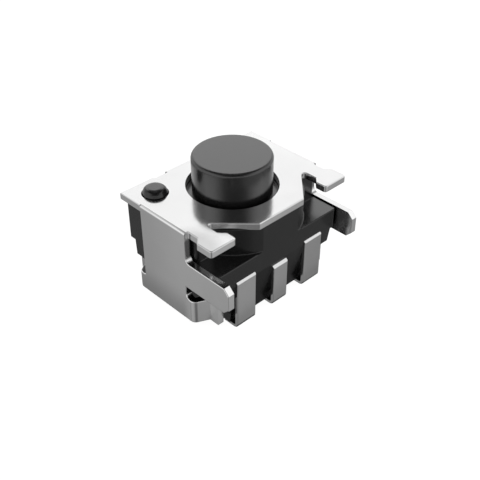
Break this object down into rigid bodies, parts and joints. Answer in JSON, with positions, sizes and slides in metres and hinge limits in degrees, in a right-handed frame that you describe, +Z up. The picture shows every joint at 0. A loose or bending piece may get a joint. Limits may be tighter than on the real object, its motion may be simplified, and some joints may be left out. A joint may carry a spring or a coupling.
{
  "type": "tactile switch",
  "caption": "Side-mount tactile push switch: a round sprung button in a black housing under a folded steel cover with locating arms and solder ears, over a row of flat leads.",
  "frame": {"origin": "on the button's axis, on the flat underside of the housing", "axes": "+Z up out of the button, +X to the right along the row of leads, +Y to the back, away from the leads"},
  "size_m": [0.0078, 0.0067, 0.0062],
  "materials": {
    "cover_steel": "satin",
    "housing_black": "semi-matt black moulding",
    "button_grey": "matt dark grey moulding",
    "lead_metal": "satin plated",
    "spring_steel": "bright spring sheet"
  },
  "bodies": {
    "base": {"housing": "housing_black", "cover": "cover_steel", "snap_dome": "spring_steel", "left_terminal": "lead_metal", "right_terminal": "lead_metal", "center_terminal": "lead_metal"},
    "button": {"plunger": "button_grey"}
  },
  "joints": [
    {"name": "button_press", "type": "slide", "parent": "base", "child": "button", "axis": [0, 0, -1], "range_m": [0, 0.00035], "stiffness_N_per_m": 4500, "deforming": ["snap_dome"]}
  ]
}
